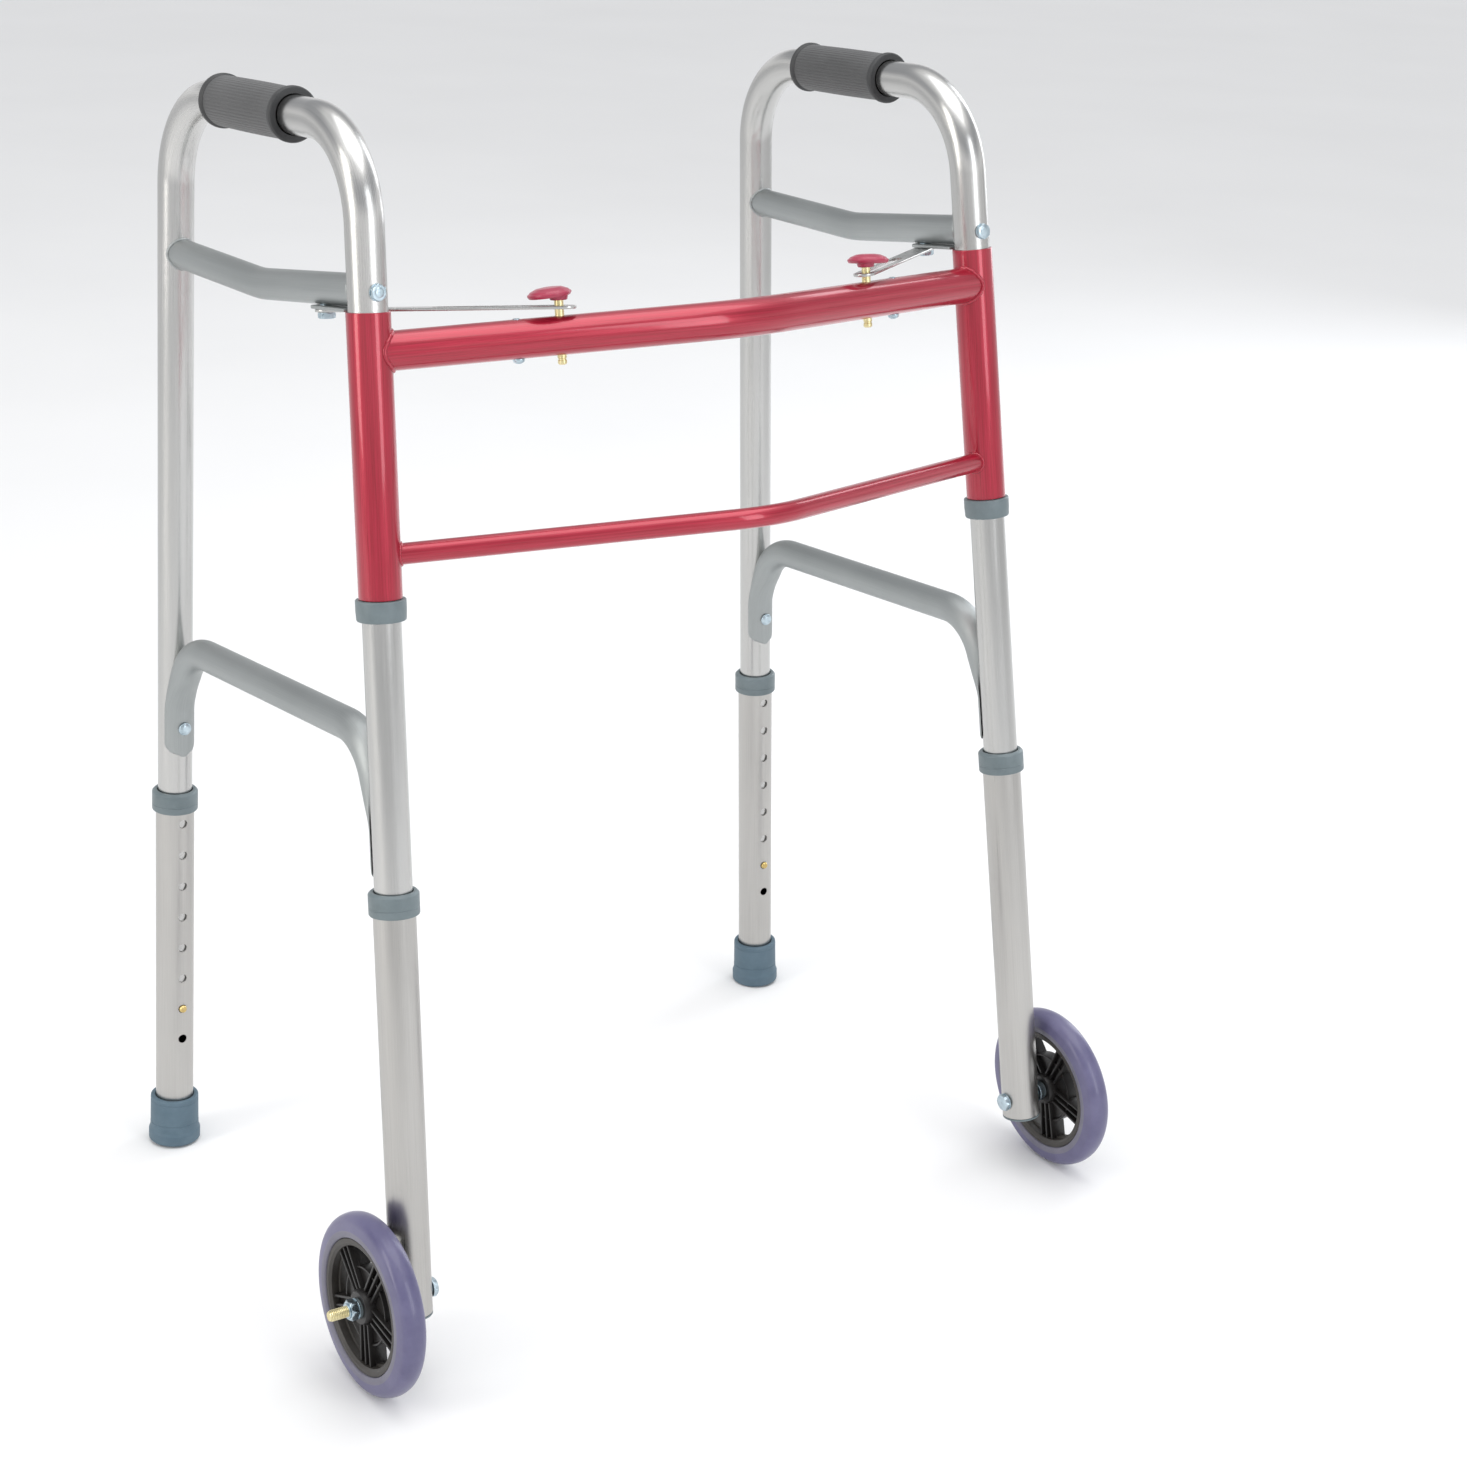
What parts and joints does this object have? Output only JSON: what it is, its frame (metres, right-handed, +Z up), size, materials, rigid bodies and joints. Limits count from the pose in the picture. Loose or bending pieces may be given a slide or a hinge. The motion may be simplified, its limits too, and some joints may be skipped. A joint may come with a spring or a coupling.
{
  "type": "walking frame",
  "caption": "Folding walking frame of bright tube with crimson crossbars and sleeves, padded grips, front wheels, rubber rear tips and telescoping legs with snap buttons",
  "frame": {"origin": "on the floor, under the middle of the bounding box", "axes": "+X to the right seen from behind, where the user stands; +Y back towards the user; +Z up"},
  "size_m": [0.6642, 0.4616, 0.8365],
  "materials": {
    "anodised": "bright drawn tube, clear anodised",
    "brushed": "flat matt aluminium",
    "crimson": "glossy crimson powder coat",
    "crimson_cap": "dull crimson moulding",
    "grip_rubber": "matt grey moulded grip with fine lengthwise flutes",
    "grey_plastic": "grey moulding",
    "slate_rubber": "slate grey rubber",
    "tyre": "blue-violet solid tyre",
    "black_plastic": "black moulding",
    "zinc": "blue zinc plate",
    "yellow_zinc": "yellow zinc plate",
    "brass": "turned brass"
  },
  "bodies": {
    "centre_frame": {"upper_crossbar": "crimson", "lower_crossbar": "crimson", "left_sleeve_tube": "crimson", "left_sleeve_collar": "grey_plastic", "left_guide_rivet": "zinc", "right_sleeve_tube": "crimson", "right_sleeve_collar": "grey_plastic", "right_guide_rivet": "zinc"},
    "left_side_frame": {"left_side_frame_tube": "anodised", "left_handgrip": "grip_rubber", "left_upper_side_brace": "brushed", "left_lower_side_brace": "brushed", "left_lower_brace_front_rivet": "zinc", "left_lower_brace_rear_rivet": "zinc", "left_leg_bolt": "zinc", "left_fold_bracket": "brushed", "left_link_pivot_bolt": "zinc"},
    "left_latch_link_body": {"left_latch_link": "anodised"},
    "left_release": {"left_release_cap": "crimson_cap", "left_latch_pin": "yellow_zinc"},
    "left_front_leg": {"left_front_leg_tube": "anodised", "left_front_leg_collar": "grey_plastic", "left_front_leg_end_plug": "grey_plastic", "left_axle_bolt": "zinc", "left_axle_nut": "zinc", "left_axle_spacer": "zinc"},
    "left_wheel": {"left_wheel_tyre": "tyre", "left_wheel_hub": "black_plastic", "left_wheel_bushing": "grey_plastic"},
    "left_rear_leg": {"left_rear_leg_tube": "anodised", "left_rear_leg_collar": "grey_plastic", "left_rear_rubber_tip": "slate_rubber"},
    "left_front_button": {"left_front_snap_button": "brass"},
    "left_rear_button": {"left_rear_snap_button": "brass"},
    "right_side_frame": {"right_side_frame_tube": "anodised", "right_handgrip": "grip_rubber", "right_upper_side_brace": "brushed", "right_lower_side_brace": "brushed", "right_lower_brace_front_rivet": "zinc", "right_lower_brace_rear_rivet": "zinc", "right_leg_bolt": "zinc", "right_fold_bracket": "brushed", "right_link_pivot_bolt": "zinc"},
    "right_latch_link_body": {"right_latch_link": "anodised"},
    "right_release": {"right_release_cap": "crimson_cap", "right_latch_pin": "yellow_zinc"},
    "right_front_leg": {"right_front_leg_tube": "anodised", "right_front_leg_collar": "grey_plastic", "right_front_leg_end_plug": "grey_plastic", "right_axle_bolt": "zinc", "right_axle_nut": "zinc", "right_axle_spacer": "zinc"},
    "right_wheel": {"right_wheel_tyre": "tyre", "right_wheel_hub": "black_plastic", "right_wheel_bushing": "grey_plastic"},
    "right_rear_leg": {"right_rear_leg_tube": "anodised", "right_rear_leg_collar": "grey_plastic", "right_rear_rubber_tip": "slate_rubber"},
    "right_front_button": {"right_front_snap_button": "brass"},
    "right_rear_button": {"right_rear_snap_button": "brass"}
  },
  "joints": [
    {"name": "left_fold", "type": "hinge", "parent": "centre_frame", "child": "left_side_frame", "pos_m": [-0.2435, -0.06145, 0.71312], "axis": [-0.0394, -0.1597, -0.9864], "range_deg": [0, 90]},
    {"name": "left_link_turn", "type": "hinge", "parent": "left_side_frame", "child": "left_latch_link_body", "pos_m": [-0.24483, -0.00677, 0.70432], "axis": [-0.0394, -0.1597, -0.9864], "range_deg": [-99, 0]},
    {"name": "left_release_press", "type": "slide", "parent": "centre_frame", "child": "left_release", "axis": [0, -0.1599, -0.9871], "range_m": [0, 0.0025], "stiffness_N_per_m": 400, "springref_m": -0.004},
    {"name": "left_front_leg_slide", "type": "slide", "parent": "left_side_frame", "child": "left_front_leg", "axis": [-0.0394, -0.1597, -0.9864], "range_m": [0, 0.1778], "deforming": ["left_front_snap_button"]},
    {"name": "left_rear_leg_slide", "type": "slide", "parent": "left_side_frame", "child": "left_rear_leg", "axis": [-0.0424, -0.0184, -0.9989], "range_m": [-0.0254, 0.1524], "deforming": ["left_rear_snap_button"]},
    {"name": "left_wheel_spin", "type": "hinge", "parent": "left_front_leg", "child": "left_wheel", "pos_m": [-0.3, -0.16742, 0.06332], "axis": [-0.9989, -0.0175, 0.0428], "continuous": true},
    {"name": "left_front_button_press", "type": "slide", "parent": "left_side_frame", "child": "left_front_button", "axis": [0.0241, -0.987, 0.1589], "range_m": [0, 0.004], "stiffness_N_per_m": 500, "springref_m": -0.003},
    {"name": "left_rear_button_press", "type": "slide", "parent": "left_side_frame", "child": "left_rear_button", "axis": [-0.0182, 0.9997, -0.0176], "range_m": [0, 0.004], "stiffness_N_per_m": 500, "springref_m": -0.003},
    {"name": "right_fold", "type": "hinge", "parent": "centre_frame", "child": "right_side_frame", "pos_m": [0.2435, -0.06145, 0.71312], "axis": [-0.0394, 0.1597, 0.9864], "range_deg": [0, 78]},
    {"name": "right_link_turn", "type": "hinge", "parent": "right_side_frame", "child": "right_latch_link_body", "pos_m": [0.24483, -0.00677, 0.70432], "axis": [-0.0394, 0.1597, 0.9864], "range_deg": [-80, 0]},
    {"name": "right_release_press", "type": "slide", "parent": "centre_frame", "child": "right_release", "axis": [0, -0.1599, -0.9871], "range_m": [0, 0.0025], "stiffness_N_per_m": 400, "springref_m": -0.004},
    {"name": "right_front_leg_slide", "type": "slide", "parent": "right_side_frame", "child": "right_front_leg", "axis": [0.0394, -0.1597, -0.9864], "range_m": [0, 0.1778], "deforming": ["right_front_snap_button"]},
    {"name": "right_rear_leg_slide", "type": "slide", "parent": "right_side_frame", "child": "right_rear_leg", "axis": [0.0424, -0.0184, -0.9989], "range_m": [-0.0254, 0.1524], "deforming": ["right_rear_snap_button"]},
    {"name": "right_wheel_spin", "type": "hinge", "parent": "right_front_leg", "child": "right_wheel", "pos_m": [0.3, -0.16742, 0.06332], "axis": [0.9989, -0.0175, 0.0428], "continuous": true},
    {"name": "right_front_button_press", "type": "slide", "parent": "right_side_frame", "child": "right_front_button", "axis": [-0.0241, -0.987, 0.1589], "range_m": [0, 0.004], "stiffness_N_per_m": 500, "springref_m": -0.003},
    {"name": "right_rear_button_press", "type": "slide", "parent": "right_side_frame", "child": "right_rear_button", "axis": [0.0182, 0.9997, -0.0176], "range_m": [0, 0.004], "stiffness_N_per_m": 500, "springref_m": -0.003}
  ],
  "couplings": [
    {"joint": "left_link_turn", "follows": "left_fold", "ratio": -1.0963},
    {"joint": "right_link_turn", "follows": "right_fold", "ratio": -1.023}
  ]
}
